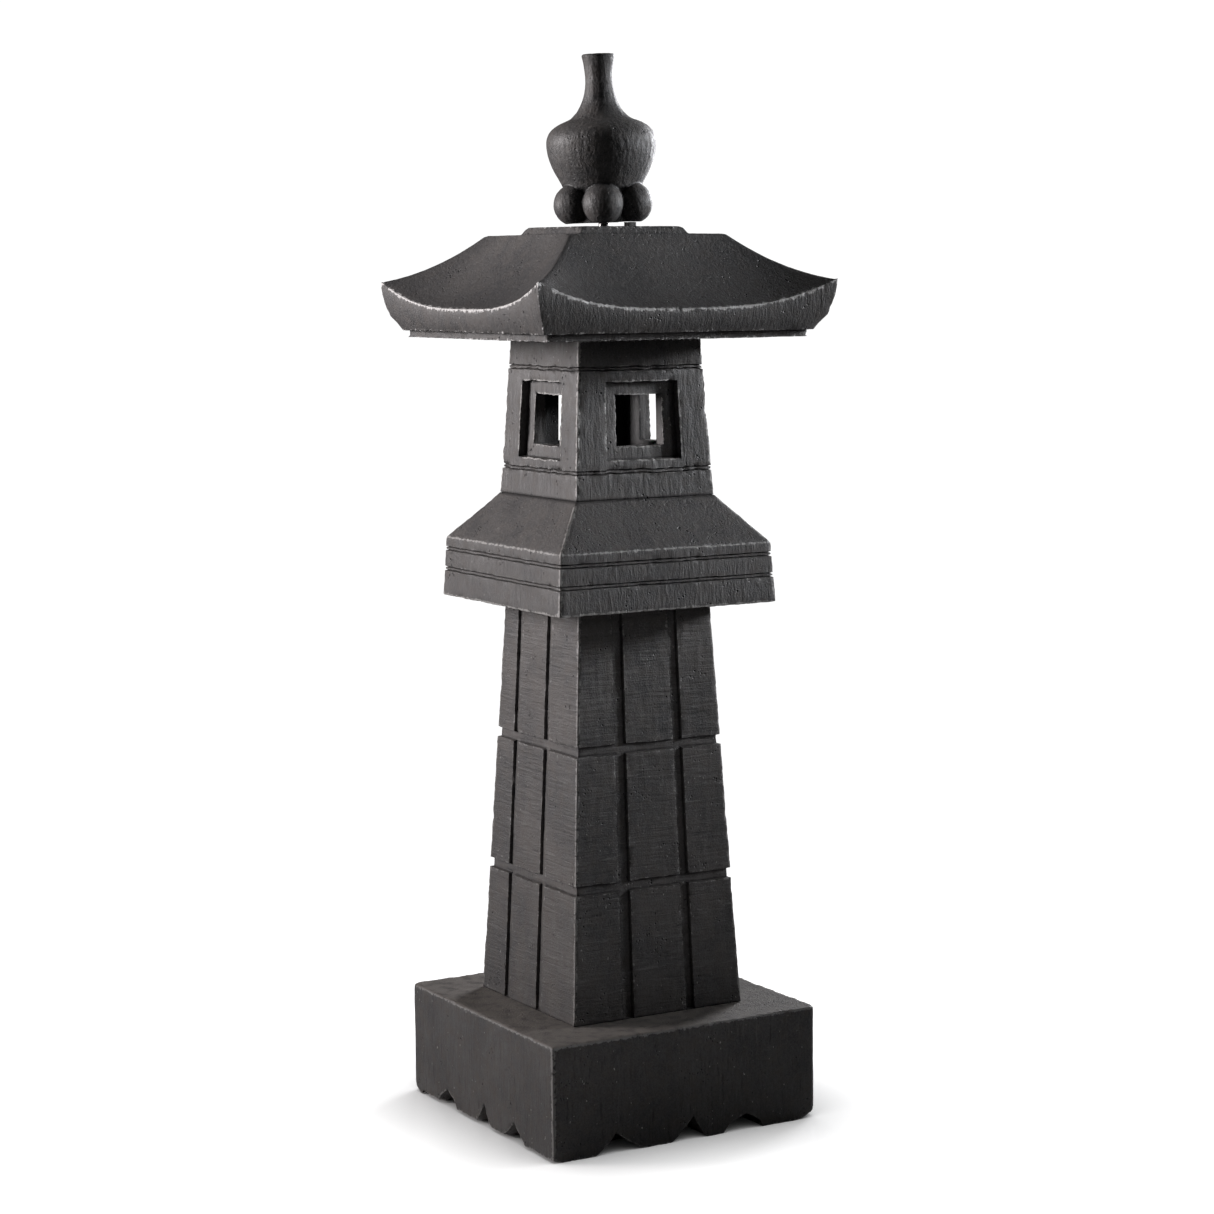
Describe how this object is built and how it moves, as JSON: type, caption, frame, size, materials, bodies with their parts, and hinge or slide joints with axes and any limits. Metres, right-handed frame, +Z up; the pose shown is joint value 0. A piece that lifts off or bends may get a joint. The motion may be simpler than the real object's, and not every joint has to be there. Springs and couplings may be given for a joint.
{
  "type": "stone lantern",
  "caption": "Square stone garden lantern: grooved tapered post on a base, platform, open firebox with windows, upturned roof and lotus bud finial.",
  "frame": {"origin": "middle of the underside of the base, on the surface the lantern stands on", "axes": "+Z up through the finial; the four faces look along X and Y, with the nearly sharp corner of the base towards -X and -Y"},
  "size_m": [0.314, 0.314, 1],
  "materials": {
    "lava_stone": "matt, fine tooling marks, worn pale edges",
    "stone_chip": "matt, rough",
    "steel": "dull",
    "cup_metal": "bright, thin",
    "wax": "satin wax",
    "wick": "braided cotton, waxed"
  },
  "bodies": {
    "base": {"base": "lava_stone"},
    "post": {"post": "lava_stone"},
    "platform": {"platform": "lava_stone"},
    "firebox": {"firebox": "lava_stone"},
    "roof": {"roof": "lava_stone", "levelling_chip": "stone_chip"},
    "finial": {"finial": "lava_stone", "finial_dowel": "steel"},
    "candle": {"candle_cup": "cup_metal", "candle_wax": "wax", "wick_tab": "steel", "candle_wick": "wick"}
  },
  "joints": [
    {"name": "post_lift", "type": "slide", "parent": "base", "child": "post", "axis": [0, 0, 1], "range_m": [0, 0.06]},
    {"name": "platform_lift", "type": "slide", "parent": "post", "child": "platform", "axis": [0, 0, 1], "range_m": [0, 0.06]},
    {"name": "firebox_lift", "type": "slide", "parent": "platform", "child": "firebox", "axis": [0, 0, 1], "range_m": [0, 0.06]},
    {"name": "roof_lift", "type": "slide", "parent": "firebox", "child": "roof", "axis": [0, 0, 1], "range_m": [0, 0.12]},
    {"name": "finial_lift", "type": "slide", "parent": "roof", "child": "finial", "axis": [0, 0, 1], "range_m": [0, 0.08]},
    {"name": "candle_lift", "type": "slide", "parent": "firebox", "child": "candle", "axis": [0, 0, 1], "range_m": [0, 0.035]}
  ]
}
